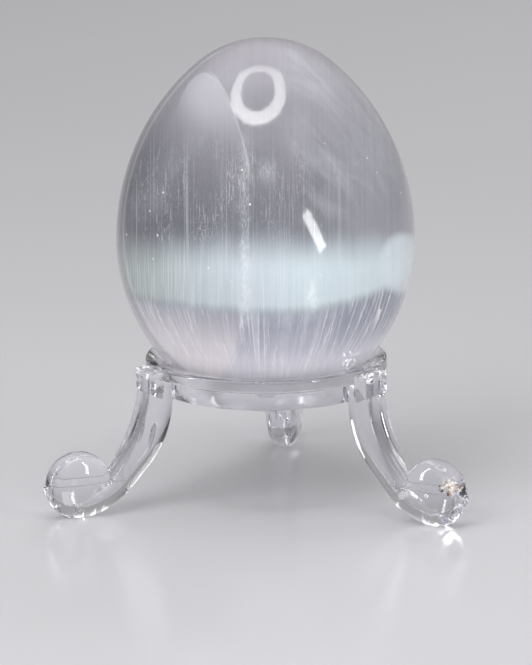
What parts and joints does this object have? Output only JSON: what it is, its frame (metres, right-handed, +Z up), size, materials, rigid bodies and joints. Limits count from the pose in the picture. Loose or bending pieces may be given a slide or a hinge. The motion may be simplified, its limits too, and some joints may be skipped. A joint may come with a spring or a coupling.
{
  "type": "decorative egg on stand",
  "caption": "Polished banded stone egg resting in the conical seat of a clear moulded ring on curved plug-in legs with rounded scroll feet.",
  "frame": {"origin": "on the table under the ring's axis, at the level of the flats that the feet stand on", "axes": "+Z up through the ring and the egg, +Y from the ring's axis to the back leg, +X to the right seen from the front"},
  "size_m": [0.0706, 0.0653, 0.0779],
  "materials": {
    "selenite": "polished",
    "clear_acrylic": "clear gloss"
  },
  "bodies": {
    "ring": {"stand_ring": "clear_acrylic"},
    "egg": {"egg": "selenite"},
    "back_leg": {"leg_back": "clear_acrylic"},
    "left_leg": {"leg_left": "clear_acrylic"},
    "right_leg": {"leg_right": "clear_acrylic"}
  },
  "joints": [
    {"name": "egg_lift", "type": "slide", "parent": "ring", "child": "egg", "axis": [0, 0, 1], "range_m": [0, 0.07]},
    {"name": "leg_back_slide", "type": "slide", "parent": "ring", "child": "back_leg", "axis": [0, 0, -1], "range_m": [0, 0.008]},
    {"name": "leg_left_slide", "type": "slide", "parent": "ring", "child": "left_leg", "axis": [0, 0, -1], "range_m": [0, 0.008]},
    {"name": "leg_right_slide", "type": "slide", "parent": "ring", "child": "right_leg", "axis": [0, 0, -1], "range_m": [0, 0.008]}
  ]
}
